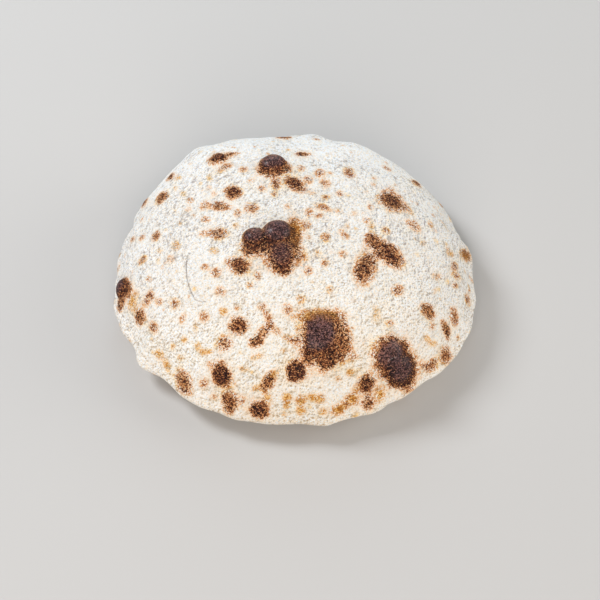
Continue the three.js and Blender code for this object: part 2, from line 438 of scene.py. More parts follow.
TANNED = [
    (237.5, 213, 3, 3.5, 0, 0.4), (235.5, 225.5, 3.5, 2.5, 0, 0.28), (261, 189, 3.5, 3, 0, 0.38),
    (206, 204.5, 4, 3.5, 0, 0.36), (204, 234, 4.5, 2.5, 0, 0.34), (191, 200.5, 3, 2.5, 0, 0.34),
    (180, 223, 2.5, 2, 0, 0.26), (142, 238, 3.5, 2, -40, 0.42), (132.5, 239.5, 3, 2, -45, 0.38),
    (176, 245, 5, 5, 0, 0.29), (170, 259.5, 5, 5, 0, 0.21), (203.5, 267.5, 3.5, 3, 0, 0.38),
    (250, 285, 3, 3, 0, 0.34), (220.5, 292, 6, 4, 0, 0.36), (183, 318.5, 3.2, 6, 30, 0.28),
    (159.5, 302, 4, 3, 0, 0.36), (149, 279, 3, 2.5, 0, 0.28), (118.5, 268, 1.5, 6, 10, 0.2),
    (325.5, 184, 5, 4.5, 25, 0.34), (326, 197, 4, 2.5, 0, 0.38), (318.5, 215, 3.5, 2.5, 0, 0.36),
    (340, 194.5, 3.5, 3, 0, 0.34), (351, 177, 3, 2, 0, 0.26), (374.5, 178.5, 2.5, 2, 0, 0.24),
    (387, 169, 5, 2, 25, 0.4), (391, 189, 4, 2.5, 20, 0.2), (370, 207, 2.5, 3, 0, 0.36),
    (367, 221, 3.5, 3, 0, 0.34), (373, 226, 3, 2.5, 0, 0.28), (430, 224, 2.5, 3.5, -30, 0.34),
    (423, 243, 3.5, 3, 0, 0.22), (437, 276, 5, 4, 0, 0.26), (455.5, 285, 2.5, 2.5, 0, 0.42),
    (432, 327, 3, 3, 0, 0.36), (389.5, 323, 4, 3, 0, 0.34), (318, 251, 3, 3, 0, 0.28),
    (303, 256, 6, 4.5, 20, 0.3), (325, 262, 4, 4, 0, 0.36), (308, 271, 4.5, 4, 0, 0.38),
    (330, 289, 4, 4, 0, 0.26), (173, 346.5, 3, 4, 0, 0.23), (181, 357, 3, 3, 0, 0.3),
    (237.5, 308.5, 3, 2.5, 0, 0.28), (338, 378, 3, 3.5, 0, 0.2), (215, 397, 4, 2.5, 0, 0.34),
    (242.5, 400, 3, 4, 0, 0.34), (376, 314, 5, 9, 0, 0.18), (458.5, 338, 2, 2.5, 0, 0.36),
    (301.5, 190, 4, 3.5, 0, 0.36), (210, 363, 4, 3.5, 0, 0.18), (178, 178, 3.5, 3, 0, 0.2),
    (175, 188, 3, 3.5, 0, 0.18), (209, 188, 3.5, 3, 0, 0.18), (214, 193, 3, 2.5, 0, 0.2),
    (251, 180, 3.5, 3, 0, 0.2), (287, 207, 4, 3.5, 0, 0.2), (188, 210, 4, 3.5, 0, 0.18),
    (202, 208.5, 3, 3, 0, 0.2), (160, 250, 4, 4, 0, 0.16), (227, 262, 3, 4, 0, 0.2),
    (339, 211, 4, 3, 0, 0.2), (354, 214, 4, 3.5, 0, 0.16), (348, 226, 3, 4, 0, 0.18),
    (341, 231, 3.5, 3, 0, 0.18), (419, 230, 3, 3, 0, 0.16), (447, 249, 3, 4, 0, 0.16),
    (313, 193, 3.5, 3, 0, 0.18), (374, 185, 3, 2.5, 0, 0.18),
]
GOLDEN = [
    # the flat brown edges of the twin blister and of the front mark
    (295, 236, 6, 15, 0, 0.22), (298, 228, 6, 5, -10, 0.3), (318, 315, 19, 5.5, 0, 0.82),
    # streaks and flecks along the front
    (167.5, 365.5, 3.5, 7.5, -30, 0.44), (338.5, 409.5, 6.5, 4.5, -25, 0.9),
    (352, 399.5, 5.5, 5.5, 0, 0.78), (301, 401.5, 3.5, 4.5, 0, 0.64), (313, 398, 8, 3.5, 0, 0.44),
    (131.5, 301, 3, 7.5, 25, 0.44), (135, 308, 4.5, 6, 20, 0.18), (146, 322, 3, 4, 0, 0.12),
    (223.5, 311, 4, 4, 0, 0.4), (184.5, 339, 3.5, 3, 0, 0.36), (159, 354, 3.5, 5, 0, 0.42),
    (198.5, 346.5, 3, 4, 0, 0.36), (202, 352, 2.5, 2.5, 0, 0.36), (208, 351.5, 4, 2.5, 0, 0.36),
    (196, 328, 3, 5, 0, 0.24), (244, 368.5, 4.5, 2.5, 15, 0.36), (256, 357, 7, 2.5, -18, 0.32),
    (283, 351, 4.5, 2.5, 10, 0.17), (273.5, 374, 4, 3.5, -30, 0.36), (256.5, 388, 5, 3, -15, 0.3),
    (287, 396.5, 4.5, 4, 0, 0.44), (287.5, 405, 3, 4, 0, 0.52), (301, 410.5, 3.5, 4, 0, 0.56),
    (319.5, 400.5, 4, 3, 0, 0.48), (323, 412, 4, 4, 0, 0.36), (346, 404, 4.5, 4, -35, 0.08),
    (357, 389, 5, 3.5, -45, 0.24), (380, 395, 4.5, 6, 0, 0.54), (350, 373, 3, 4, 0, 0.4),
    (268, 398, 4, 5, 0, 0.32), (451, 254.5, 4, 3, 0, 0.28), (465, 257, 6, 4, 20, 0.3),
    (426.5, 337.5, 3, 4.5, -35, 0.26), (433, 343.5, 4, 3, 0, 0.32), (214, 251, 4.5, 3.5, 0, 0.32),
]
print(len(BROWNED), "browned,", len(TANNED), "tanned and", len(GOLDEN), "golden marks")

# %% Places and directions on the crust
RAGGED_SIZE = 3.2 * MM
RAGGED_SHARES = (1, 0.5)  # of its size and of its strength


def soft_noise(points, size):
    """Smooth noise from minus one to one over the crust, with lumps of this size."""
    return np.array([noise.noise(place) for place in map(Vector, points / size)])


def crust_at(x, y):
    """The point of the crust that shows nearest to this pixel of the photograph."""
    return np.flatnonzero(shown)[np.hypot(*(pixels[shown] - (x, y)).T).argmin()]


def tangents(i):
    """Two directions along the crust at a point: the first runs across the picture."""
    normal = smooth_normals[i]
    across = right - normal * (normal @ right)
    across /= np.linalg.norm(across)
    return across, np.cross(normal, across)


def turned(half_width, half_height, turn):
    """Takes a place to a circle of radius one where the turned oval's edge lies."""
    c, s = math.cos(math.radians(turn)), math.sin(math.radians(turn))
    return np.array([[c, s], [-s, c]]) / [[half_width], [half_height]]


ragged = sum(share * soft_noise(points, RAGGED_SIZE * share) for share in RAGGED_SHARES)
print(f"edges made ragged by noise from {ragged.min():.2f} to {ragged.max():.2f}")

# %% Lay one mark
RAGGED_DEPTH = 0.17
MARK_SPREAD = 0.95
MARK_REACH = 2.2
FLATTEST_VIEW = 0.35


def scorch(field, i, oval, heat, steepness):
    """Add a mark round point i: a high steepness gives a flat middle and a hard edge."""
    across, onward = tangents(i)
    reach = MARK_REACH / np.linalg.svd(oval)[1].min()
    near = np.flatnonzero(((points - points[i]) ** 2).sum(1) < reach**2)
    offset = points[near] - points[i]
    distance = np.hypot(*(oval @ np.stack([offset @ across, offset @ onward])))
    distance *= 1 + RAGGED_DEPTH * ragged[near]
    field[near] = 1 - (1 - field[near]) * (1 - heat * np.exp(-(distance / MARK_SPREAD) ** steepness))


def scorch_from_photo(field, marks, steepness):
    """Add marks that are given in the photograph's pixels."""
    for x, y, half_width, half_height, turn, heat in marks:
        i = crust_at(x, y)
        across, onward = tangents(i)
        scale = FOCAL_PIXELS / ((eye - points[i]) @ back)
        upright = max(onward @ up, FLATTEST_VIEW)
        to_pixels = scale * np.array([[max(across @ right, FLATTEST_VIEW), 0], [-(across @ up), -upright]])
        scorch(field, i, turned(half_width, half_height, turn) @ to_pixels, heat, steepness)


print("a mark fades out at", MARK_REACH, "times its own size")

# %% Lay all the marks
HALO_PIXELS = 3
HALO_STEEPNESS = 2
GILDING = 2.2
GOLD_STEEPNESS = 3
BROWN_HEAT = 0.3
MARK_KINDS = [  # marks, steepness of their edge, share of their heat in the mark itself and in its halo
    (CHARRED, 7, 0.97, 0.28), (SCORCHED, 3.8, 0.94, 0.24), (BROWNED, 2.5, 0.71, 0.2),
    (TANNED, 2, 0.74, 0.2), (GOLDEN, 2, 0.78, 0.14),
]

heat = blister_heat.copy()
gold = np.zeros(len(points))
for marks, steepness, share, halo_share in MARK_KINDS:
    scorch_from_photo(heat, [(*oval, share * hot) for *oval, hot in marks], steepness)
    halos = [
        (x, y, half_width + HALO_PIXELS, half_height + HALO_PIXELS, turn, halo_share * hot)
        for x, y, half_width, half_height, turn, hot in marks
    ]
    scorch_from_photo(heat, halos, HALO_STEEPNESS)
scorch_from_photo(gold, [(*oval, min(1, GILDING * hot)) for *oval, hot in GOLDEN], GOLD_STEEPNESS)
print(f"scorched or browned: {(heat[shown] > BROWN_HEAT).mean():.1%} of the crust that shows")

# %% [markdown]
# ## Freckles
# Between the marks that can be read one by one lie many faint flecks of tan, too small to list. They
# are strewn by a seeded generator, which gives the same bread every time.

# %% Faint flecks all over
FLECKS = 230
FLECK_SIZES = (0.8, 1.7)  # mm
FLECK_HEATS = (0.08, 0.22)
FLECK_STEEPNESS = 2
GOLDEN_FLECKS = 0.5
BARE_HEAT = 0.02
STRETCH = (0.8, 1.5)
rng = np.random.default_rng(11)


def strew(field, i, size, heat, steepness):
    """One mark of about this size at point i, stretched and turned by chance."""
    oval = turned(size * rng.uniform(*STRETCH), size, rng.uniform(0, 180))
    scorch(field, i, oval, heat, steepness)


for i in rng.choice(np.flatnonzero(heat < BARE_HEAT), FLECKS):
    size = rng.uniform(*FLECK_SIZES) * MM
    strew(heat, i, size, rng.uniform(*FLECK_HEATS), FLECK_STEEPNESS)
    if rng.random() < GOLDEN_FLECKS:
        strew(gold, i, size, 1, GOLD_STEEPNESS)
print(FLECKS, "flecks")

# %% [markdown]
# ## The sides that do not show
# The back and the lower crust baked in the same heat, so they get marks of the same kinds. They could be
# placed by hand, but nothing tells where, so the same generator strews them.

# %% Marks on the hidden crust
HIDDEN_MARKS = 150
UNDER_MARKS = 50
WELL_HIDDEN = -0.28
BASE_HEIGHT = 0.5 * MM
HIDDEN_SIZES = [1.2, 1.8, 2.6, 4.5]  # mm
HIDDEN_CHANCES = [0.45, 0.35, 0.15, 0.05]
HIDDEN_HEATS = (0.15, 0.5)
HEAT_BY_SIZE = 0.1  # for each mm
HOTTEST = 0.95
HIDDEN_STEEPNESS = 2.5
GOLDEN_HIDDEN = 0.2

hidden = np.flatnonzero((facing < WELL_HIDDEN) & (points[:, 2] > BASE_HEIGHT))
under = np.flatnonzero(points[:, 2] <= BASE_HEIGHT)
for i in np.append(rng.choice(hidden, HIDDEN_MARKS), rng.choice(under, UNDER_MARKS)):
    size = MM * rng.choice(HIDDEN_SIZES, p=HIDDEN_CHANCES)
    hot = min(HOTTEST, rng.uniform(*HIDDEN_HEATS) + size / MM * HEAT_BY_SIZE)
    strew(heat, i, size, hot, HIDDEN_STEEPNESS)
    if rng.random() < GOLDEN_HIDDEN:
        strew(gold, i, size, 1, GOLD_STEEPNESS)
print(f"{HIDDEN_MARKS} marks on the hidden sides, {UNDER_MARKS} underneath")

# %% [markdown]
# ## Fine relief
# Close to, the crust is pebbly: small lumps and pits a few millimetres wide, a little swollen where it
# scorched, with a faint crease along the seam. Lumps this size catch the light at the outline, so they
# are real geometry. What is finer than the triangles is left to the bump in the finish.

# %% Pebbles, pits and the seam's crease
PEBBLES = [(9 * MM, 0.22 * MM), (4 * MM, 0.15 * MM), (2.1 * MM, 0.11 * MM)]
SCORCH_SWELL = 0.45 * MM
SEAM_CREASE_REACH = 0.965
SEAM_CREASE_HALF_WIDTH = 0.011
SEAM_CREASE_DEPTH = 0.35 * MM
SEAM_CREASE_EVEN = 0.6
SEAM_CREASE_RAGGED = 0.6
PAST_SEAM = 2
RELIEF_FLOOR = 3 * MM

ring_reach = [reach if place is top_points else PAST_SEAM for place, reach, sides in plan]
reach_of = np.repeat(np.array(ring_reach, float), counts)
relief = sum(depth * soft_noise(points, size) for size, depth in PEBBLES)
relief += SCORCH_SWELL * heat
seam_crease = SEAM_CREASE_DEPTH * bell(reach_of - SEAM_CREASE_REACH, SEAM_CREASE_HALF_WIDTH)
relief -= seam_crease * (SEAM_CREASE_EVEN + SEAM_CREASE_RAGGED * ragged)
relief *= np.clip(points[:, 2] / RELIEF_FLOOR, 0, 1)
points = points + smooth_normals * relief[:, None]
print(f"relief from {relief.min() / MM:.2f} to {relief.max() / MM:.2f} mm")

# %% Build the crust
mesh = bpy.data.meshes.new("pita_crust")
mesh.from_pydata(points.tolist(), [], faces)
mesh.shade_smooth()
stored_values = {"scorching": heat, "gilding": gold, "swelling": blister_rise / blister_rise.max()}
for name, values in stored_values.items():
    mesh.attributes.new(name, "FLOAT", "POINT").data.foreach_set("value", values.astype(np.float32))
crust = bpy.data.objects.new("pita_crust", mesh)
bpy.context.scene.collection.objects.link(crust)
print(f"{crust.name}: {len(mesh.polygons)} triangles")

# %% [markdown]
# ## A flat map of the crust
# When colours are baked to an image, the crust has to be laid flat. The top and the lower crust each
# flatten well into a disc, parted at the seam, so the map has two discs and no other cuts.

# %% Two discs side by side
TOP_DISC = (0.365, 0.635, 0.36)  # middle and radius on the map
LOWER_DISC = (0.78, 0.22, 0.215)


def disc(map_place, radius_share, bearing):
    x, y, radius = map_place
    out = radius * radius_share
    return np.stack([x + out * np.cos(bearing), y + out * np.sin(bearing)], 1)


bearing_of = np.concatenate([np.arange(n) * math.tau / n for n in counts])
from_base = np.repeat(np.linspace(1, 0, LOWER_RINGS + BASE_RINGS + 1), counts[TOP_RINGS:])
lower_share = np.append(np.zeros(starts[TOP_RINGS]), from_base)
flat_top = disc(TOP_DISC, np.minimum(reach_of, 1), bearing_of)
flat_lower = disc(LOWER_DISC, lower_share, bearing_of)
below = (triangles >= starts[TOP_RINGS + 1]).any(1)
flat = np.where(np.repeat(below, 3)[:, None], flat_lower[triangles.ravel()], flat_top[triangles.ravel()])
mesh.uv_layers.new(name="OFBake").uv.foreach_set("vector", flat.astype(np.float32).ravel())
print("map from", flat.min(0).round(3), "to", flat.max(0).round(3))

# %% [markdown]
# ## Sums with sockets
# A finish is a graph of nodes, and a graph wired line by line is hard to read. This small class wraps
# one output socket, so that an ordinary Python sum adds the Math nodes for it. Every other node comes
# from its one method, which takes the node's type, its settings and its sockets.

# %% A socket that Python can do sums with
class Field:
    """A value, colour or vector that varies over a surface."""

    def __init__(self, tree, socket=None):
        self.tree = tree
        self.socket = socket

    def node(self, kind, settings=None, sockets=None, output=0):
        """Add a node: its settings first, then the values or links of its input sockets."""
        made = self.tree.nodes.new("ShaderNode" + kind)
        for name, value in (settings or {}).items():
            if name == "stops":
                for n, (position, colour) in enumerate(value):
                    stop = made.color_ramp.elements[n] if n < 2 else made.color_ramp.elements.new(position)
                    stop.position = position
                    stop.color = colour
            else:
                setattr(made, name, value)
        for name, value in (sockets or {}).items():
            if isinstance(value, Field):
                self.tree.links.new(value.socket, made.inputs[name])
            else:
                made.inputs[name].default_value = value
        return Field(self.tree, made.outputs[output] if made.outputs else None)

    def math(self, operation, first, second=0.0):
        return self.node("Math", {"operation": operation}, {0: first, 1: second})

    def __add__(self, other):
        return self.math("ADD", self, other)

    __radd__ = __add__

    def __sub__(self, other):
        return self.math("SUBTRACT", self, other)

    def __rsub__(self, other):
        return self.math("SUBTRACT", other, self)

    def __mul__(self, other):
        return self.math("MULTIPLY", self, other)

    __rmul__ = __mul__

    def between(self, low, high):
        """Nought below the first value, one above the second, smooth between."""
        ends = {"Value": self, "From Min": low, "From Max": high}
        return self.node("MapRange", {"interpolation_type": "SMOOTHSTEP"}, ends)

    def mix(self, first, second, blend="MIX"):
        """The first colour where this field is nought, blended with the second where it is one."""
        settings = {"data_type": "RGBA", "blend_type": blend}
        return self.node("Mix", settings, {0: self, 6: first, 7: second}, output=2)


def paint(red, green, blue):
    """A colour given as it looks on screen, from 0 to 255, as the linear colour that a shader takes."""
    shares = np.array([red, green, blue]) / 255
    linear = np.where(shares <= 0.04045, shares / 12.92, ((shares + 0.055) / 1.055) ** 2.4)
    return (*linear, 1)


print(f"a grey of 128 on screen is {paint(128, 128, 128)[0]:.3f} in a shader")

# %% [markdown]
# ## The grain of the crust
# Flour and dried dough leave the crust nearly white and quite rough. It browns from the tops of its
# grains, so a scorch mark has a speckled edge that runs through gold and brown to a purplish black. A
# painted picture would blur that speckle. Noise worked out in the bread's own space stays sharp from
# every side, so the finish starts with it, from single grains to patches a few centimetres wide.

# %% Noise from grains to patches
GRIT_SCALE = 2150
SPECK_SCALE = 1500
KNOB_SCALE = 950
KNOB_DETAIL = 3.0
RIPPLE_SCALE = 420
MOTTLE_SCALE = 160
PATCH_SCALE = 60
BROAD_SCALE = 28
CLOUD_DETAIL = 2.0
CLOUD_ROUGHNESS = 0.6
CLOUD_MIDDLE = 0.5


def cloud(field, place, scale, detail=CLOUD_DETAIL):
    """Soft noise from nought to one: the larger the scale, the smaller its lumps."""
    sockets = {"Vector": place, "Scale": scale, "Detail": detail, "Roughness": CLOUD_ROUGHNESS}
    return field.node("TexNoise", {}, sockets, "Fac")


def grit_of(field, place):
    """Two chance values for each grain of the crust, alike all over that grain."""
    cells = field.node("TexVoronoi", {}, {"Vector": place, "Scale": GRIT_SCALE}, "Color")
    return [field.node("SeparateColor", {}, {0: cells}, part) for part in ("Red", "Green")]


print(f"grains about {1 / GRIT_SCALE / MM:.2f} mm wide")

# %% Strokes, wrinkles and the lee side of lumps
STROKE_SCALE = 650
STROKES_ROUND = 9
WRINKLE_SCALE = 330
WRINKLE_WIDTH = 0.04
TOWARD_LIGHT = (-0.3 * MM, 0.28 * MM, 0.25 * MM)
RIPPLE_STEPS = 2


def round_the_dome(field, place):
    """Coordinates that change fast across the crust and slowly round it, for strokes."""
    x, y, z = (field.node("SeparateXYZ", {}, {0: place}, part) for part in "XYZ")
    bearing = field.math("ARCTAN2", y, x)
    radius = field.math("SQRT", x * x + y * y)
    stretched = {0: radius * STROKE_SCALE, 1: z * STROKE_SCALE, 2: bearing * STROKES_ROUND}
    return field.node("CombineXYZ", {}, stretched)


def lee_of(field, place, lumps, steps, *cloud_settings):
    """Above nought where the same lumps, a step toward the light, stand higher than here."""
    offset = tuple(steps * part for part in TOWARD_LIGHT)
    windward = field.node("VectorMath", {"operation": "ADD"}, {0: place, 1: offset})
    return cloud(field, windward, *cloud_settings) - lumps


def wrinkles_of(field, place):
    """One along thin winding lines, nought between them."""
    from_line = field.math("ABSOLUTE", cloud(field, place, WRINKLE_SCALE) - CLOUD_MIDDLE)
    return 1 - from_line.between(0.0, WRINKLE_WIDTH)


print(f"one step toward the light: {np.linalg.norm(TOWARD_LIGHT) / MM:.2f} mm")

# %% Everything that the finish reads
BACK = (0.0, 80 * MM)


def stored(field, name):
    """A value that was stored in the mesh."""
    return field.node("Attribute", {"attribute_name": name}, output="Fac")


def grain_of(field):
    """The noise, the directions and the stored values that all parts of the finish share."""
    place = field.node("TexCoord", output="Object")
    toward_front = 0 - field.node("SeparateXYZ", {}, {0: place}, "Y")
    luck, tint = grit_of(field, place)
    knobs = cloud(field, place, KNOB_SCALE, KNOB_DETAIL)
    ripples = cloud(field, place, RIPPLE_SCALE)
    return SimpleNamespace(
        place=place, toward_front=toward_front,
        toward_back=(0 - toward_front).between(*BACK),
        heat=stored(field, "scorching"),
        gold=stored(field, "gilding"),
        swelling=stored(field, "swelling"),
        luck=luck, tint=tint, knobs=knobs, ripples=ripples,
        speck=cloud(field, place, SPECK_SCALE),
        mottle=cloud(field, place, MOTTLE_SCALE),
        patches=cloud(field, place, PATCH_SCALE),
        broad=cloud(field, place, BROAD_SCALE),
        strokes=cloud(field, round_the_dome(field, place), 1.0),
        wrinkles=wrinkles_of(field, place),
        knob_lee=lee_of(field, place, knobs, 1, KNOB_SCALE, KNOB_DETAIL),
        ripple_lee=lee_of(field, place, ripples, RIPPLE_STEPS, RIPPLE_SCALE),
    )


def blend(grain, shares, middle=0.0):
    """A sum of kinds of noise, each measured from its middle and given its share."""
    return sum((getattr(grain, name) - middle) * share for name, share in shares.items())


print("values stored in the mesh:", list(stored_values))

# %% [markdown]
# ## How far each grain has browned
# A mark's heat says how far its crust has browned on the whole. No two grains of a real crust brown
# alike, so chance moves each one up or down. The hottest places are calmer and keep a few pale specks.
# A floor that rises with the heat keeps hot grains from looking raw.

# %% Browning
CHANCE = {"luck": 0.88, "speck": 0.35, "knobs": 0.3, "ripples": 0.45, "mottle": 0.35}
SWING = 1.4
SWINGING_HEAT = (0.0, 0.52)
GOLD_CALM = 0.5
HOT_CALM = 0.3
CALMING_HEAT = (0.45, 0.7)
PALE_LUCK = (0.05, 0.17)
PALE_CLUSTERS = (0.3, 0.65)
PALE_SPECKS = 0.5
SPECKLED_HEAT = (0.4, 0.6)
HOT_DEPTH = 0.02
FLOOR_HEAT = (0.15, 0.5)
FLOOR_SHARE = 0.5
FLOOR_IN_SPECKS = 0.25


def browning_of(field, grain):
    """How far each grain has browned, from nought for raw dough to one for char."""
    heat = grain.heat
    calm = heat.between(*CALMING_HEAT) * HOT_CALM
    swing = heat.between(*SWINGING_HEAT) * (SWING - grain.gold * GOLD_CALM - calm)
    specks = (1 - grain.luck.between(*PALE_LUCK)) * (1 - grain.speck.between(*PALE_CLUSTERS))
    depth = heat.between(*SPECKLED_HEAT) * (HOT_DEPTH - specks * PALE_SPECKS)
    least = heat * heat.between(*FLOOR_HEAT) * (FLOOR_SHARE - specks * FLOOR_IN_SPECKS)
    return field.math("MAXIMUM", heat + blend(grain, CHANCE, CLOUD_MIDDLE) * swing + depth, least)


print("chance shares:", CHANCE)

# %% Browned and gilded colours
BAKED = [
    (0.0, paint(242, 232, 219)), (0.14, paint(237, 206, 172)), (0.28, paint(217, 160, 108)),
    (0.45, paint(168, 105, 65)), (0.65, paint(106, 63, 45)), (0.85, paint(72, 40, 29)),
    (1.0, paint(33, 18, 16)),
]
GILDED = [
    (0.0, paint(242, 231, 212)), (0.2, paint(243, 212, 152)), (0.4, paint(229, 168, 80)),
    (0.6, paint(191, 121, 50)), (1.0, paint(80, 52, 34)),
]
YELLOW_PATCHES = (0.5, 0.62)
YELLOW_FADES = (0.15, 0.4)
YELLOW = 0.6


def browned(field, grain, browning):
    """The colour of browned crust: yellower in golden marks and in a few faint patches."""
    baked = field.node("ValToRGB", {"stops": BAKED}, {0: browning})
    gilded = field.node("ValToRGB", {"stops": GILDED}, {0: browning})
    faint = 1 - grain.heat.between(*YELLOW_FADES)
    yellow = grain.patches.between(*YELLOW_PATCHES) * faint * YELLOW
    return field.math("MAXIMUM", grain.gold, yellow).mix(baked, gilded)


print(len(BAKED), "baked and", len(GILDED), "gilded colours")

# %% [markdown]
# ## Pale dough
# Where it has not browned, the crust is floury and close to white. Toward the front it is painted
# lighter and a little warmer in patches, as painted fill light. Along the front of the seam it is warmest,
# partly a toasted tone and partly painted warm bounce light. Toward the back it is painted cooler, as
# painted cool light. Single grains differ too: some are cream, some bluish. Mixing a few named colours one
# after another keeps each of them easy to change.

# %% Pale crust
FLOUR = paint(246, 243, 240)
DOUGH = paint(241, 236, 230)
# The next three colours are painted light: a lighter, warmer front, a rim partly toasted and partly lit by
# warm bounce, and a cooler back.
FRONT_PAINTED_LIGHT = paint(245, 242, 235)
RIM_TOAST_AND_BOUNCE = paint(231, 213, 188)
BACK_COOL_LIGHT = paint(244, 245, 246)
CREAM = paint(245, 230, 204)
COOL_GRAIN = paint(238, 246, 252)
SOFT_EDGE = (0.35, 0.65)
FRONT = (20 * MM, 100 * MM)
FRONT_LIGHT_PATCHES = 0.5
FRONT_LIGHT_MOTTLE = 0.7
FRONT_RIM = (66 * MM, 88 * MM)
RIM_GRAINS = (0.1, 0.8)
RIM_SHARE = 0.75
BACK_COOL_LIGHT_SHARE = 0.9
CREAM_GRAINS = (0.5, 1.0)
CREAM_SHARE = 0.8
COOL_GRAINS = (0.0, 0.45)
COOL_SHARE = 0.7


def pale_crust(grain):
    """The colour of unbrowned crust, with painted front light, warm rim bounce and cool back light."""
    pale = grain.broad.between(*SOFT_EDGE).mix(DOUGH, FLOUR)
    # Painted light: in patches toward the front the crust is mixed toward a lighter, warmer white.
    warm = grain.patches.between(*SOFT_EDGE) * FRONT_LIGHT_PATCHES
    warm = warm + grain.mottle.between(*SOFT_EDGE) * FRONT_LIGHT_MOTTLE
    pale = (grain.toward_front.between(*FRONT) * warm).mix(pale, FRONT_PAINTED_LIGHT)
    # Painted warm bounce light on the front of the seam, mixed with its toasted tone.
    rim = grain.toward_front.between(*FRONT_RIM) * grain.tint.between(*RIM_GRAINS)
    pale = (rim * RIM_SHARE).mix(pale, RIM_TOAST_AND_BOUNCE)
    # Painted cool light toward the back.
    pale = (grain.toward_back * BACK_COOL_LIGHT_SHARE).mix(pale, BACK_COOL_LIGHT)
    pale = (grain.tint.between(*CREAM_GRAINS) * CREAM_SHARE).mix(pale, CREAM)
    return (COOL_SHARE - grain.tint.between(*COOL_GRAINS) * COOL_SHARE).mix(pale, COOL_GRAIN)


print(f"rim warms from {FRONT_RIM[0] / MM:.0f} mm toward the front")

# %% [markdown]
# ## Pits and lee sides
# The pits between the grains of a pale crust lie in shade. A bump only turns the surface and casts no
# shadow, so it would leave them too bright. Their shade is therefore mixed into the colour: on the lee
# side of lumps, along faint strokes round the dome, and in single sunken grains. Browned crust has no
# need of it.

# %% Shade in the pits
# Colours of the painted shade in the pits, warmer toward the front.
PIT_SHADE = paint(190, 184, 182)
FRONT_PIT_SHADE = paint(200, 185, 163)
PIT_WARMS = (0.0, 70 * MM)
KNOB_LEE = (0.0, 0.2)
LEAST_KNOB_SHADE = 0.25
RIPPLE_LEE = (0.03, 0.3)
LEE_SHARE = 0.9
STROKE_EDGE = (0.54, 0.72)
STROKE_SHARE = 0.55
STROKES_FADE = (0.0, 50 * MM)
STROKE_FADE = 0.35
SUNKEN_LUCK = (0.0, 0.4)
SUNKEN_SHARE = 0.25
LEAST_SHADE = 0.7
PATCHY_SHADE = 0.75
SHADE_BROWNS_OVER = (0.3, 0.7)
BACK_SHADE_CUT = 0.5


def pit_shade(grain, browning):
    """How much each place lies in a pit or in the lee of its neighbours."""
    lee = grain.knob_lee.between(*KNOB_LEE) * (LEAST_KNOB_SHADE + grain.mottle)
    lee = lee + grain.ripple_lee.between(*RIPPLE_LEE)
    stroke_share = STROKE_SHARE - grain.toward_front.between(*STROKES_FADE) * STROKE_FADE
    strokes = grain.strokes.between(*STROKE_EDGE) * stroke_share
    sunken = (1 - grain.luck.between(*SUNKEN_LUCK)) * SUNKEN_SHARE
    patchy = LEAST_SHADE + grain.patches.between(*SOFT_EDGE) * PATCHY_SHADE
    shade = (lee * LEE_SHARE + strokes + sunken) * patchy
    # The painted shade is weaker toward the back.
    return shade * (1 - browning.between(*SHADE_BROWNS_OVER)) * (1 - grain.toward_back * BACK_SHADE_CUT)


print(f"pits warm over {PIT_WARMS[1] / MM:.0f} mm toward the front")

# %% [markdown]
# ## Blister skin and creases
# A blister's skin is thin and dries taut: it has a dull sheen and fine wrinkles. Its purplish grey is
# partly the skin's own tone and partly a painted sheen, and its wrinkles carry painted highlights. One
# pale bubble has settled again and left a thin crease round its edge, darkened with painted shade, and
# the front right blister has a fine crack, shown by a painted highlight. Each line is an arc through three
# pixels of the photograph, found as the distance to a sphere's surface, which needs no extra geometry.

# %% Thin lines on the crust
CREASES = [  # three pixels along each, and how plain it is
    ([(187.6, 256), (187.4, 277), (195.6, 299.5)], 0.55),
    ([(195, 298.7), (199, 301), (206, 302)], 0.4),
    ([(236, 283.5), (238.3, 290), (232, 297)], 0.4),
]
CRACK = [(386.8, 361.3), (391, 358.9), (395.5, 357.2)]
CREASE_WIDTH = 0.4 * MM
CRACK_WIDTH = 0.3 * MM
LINE_FADES = 0.85


def circle_through(a, b, c):
    """Middle and radius of the circle through three points."""
    u = b - a
    v = c - a
    normal = np.cross(u, v)
    middle = a + np.cross((u @ u) * v - (v @ v) * u, normal) / (2 * normal @ normal)
    return middle, np.linalg.norm(a - middle)


def distance_to(field, place, point):
    return field.node("VectorMath", {"operation": "DISTANCE"}, {0: place, 1: tuple(point)}, "Value")


def thin_line(field, place, line, width):
    """One along an arc through three pixels, nought elsewhere."""
    ends = points[[crust_at(x, y) for x, y in line]]
    middle, radius = circle_through(*ends)
    half_length = max(np.linalg.norm(ends[1] - end) for end in ends)
    off_line = field.math("ABSOLUTE", distance_to(field, place, middle) - float(radius))
    from_middle = distance_to(field, place, ends[1])
    fading = from_middle.between(LINE_FADES * half_length, half_length)
    return (1 - off_line.between(0, width)) * (1 - fading)


print(len(CREASES), "creases and a crack")

# %% Skin, creases and crack
# The skin's purplish tone, lightened into a painted sheen.
SKIN_TONE_AND_SHEEN = paint(130, 98, 104)
# Painted shade in the creases.
CREASE_SHADE = paint(146, 116, 94)
# Painted highlight along the crack.
CRACK_HIGHLIGHT = paint(205, 190, 184)
SKIN_SWELLING = (0.25, 0.7)
SKIN_HEAT = (0.5, 0.75)
SHEEN_LUCK = (0.0, 0.7)
SHEEN_SHARE = 0.7
# Painted highlight along the wrinkles.
WRINKLE_HIGHLIGHT = 0.25
CREASE_BREAKS = (0.2, 0.6)
CRACK_BREAKS = (0.3, 0.6)
CRACK_HIGHLIGHT_SHARE = 0.55


def blister_skin(grain):
    """One on the taut skin of a scorched blister."""
    return grain.swelling.between(*SKIN_SWELLING) * grain.heat.between(*SKIN_HEAT)


# Painted sheen on random grains of the skin, partly its own purplish tone, with painted highlights on the
# wrinkles.
def skin_tone_and_sheen(grain, skin):
    return skin * ((1 - grain.luck.between(*SHEEN_LUCK)) * SHEEN_SHARE + grain.wrinkles * WRINKLE_HIGHLIGHT)


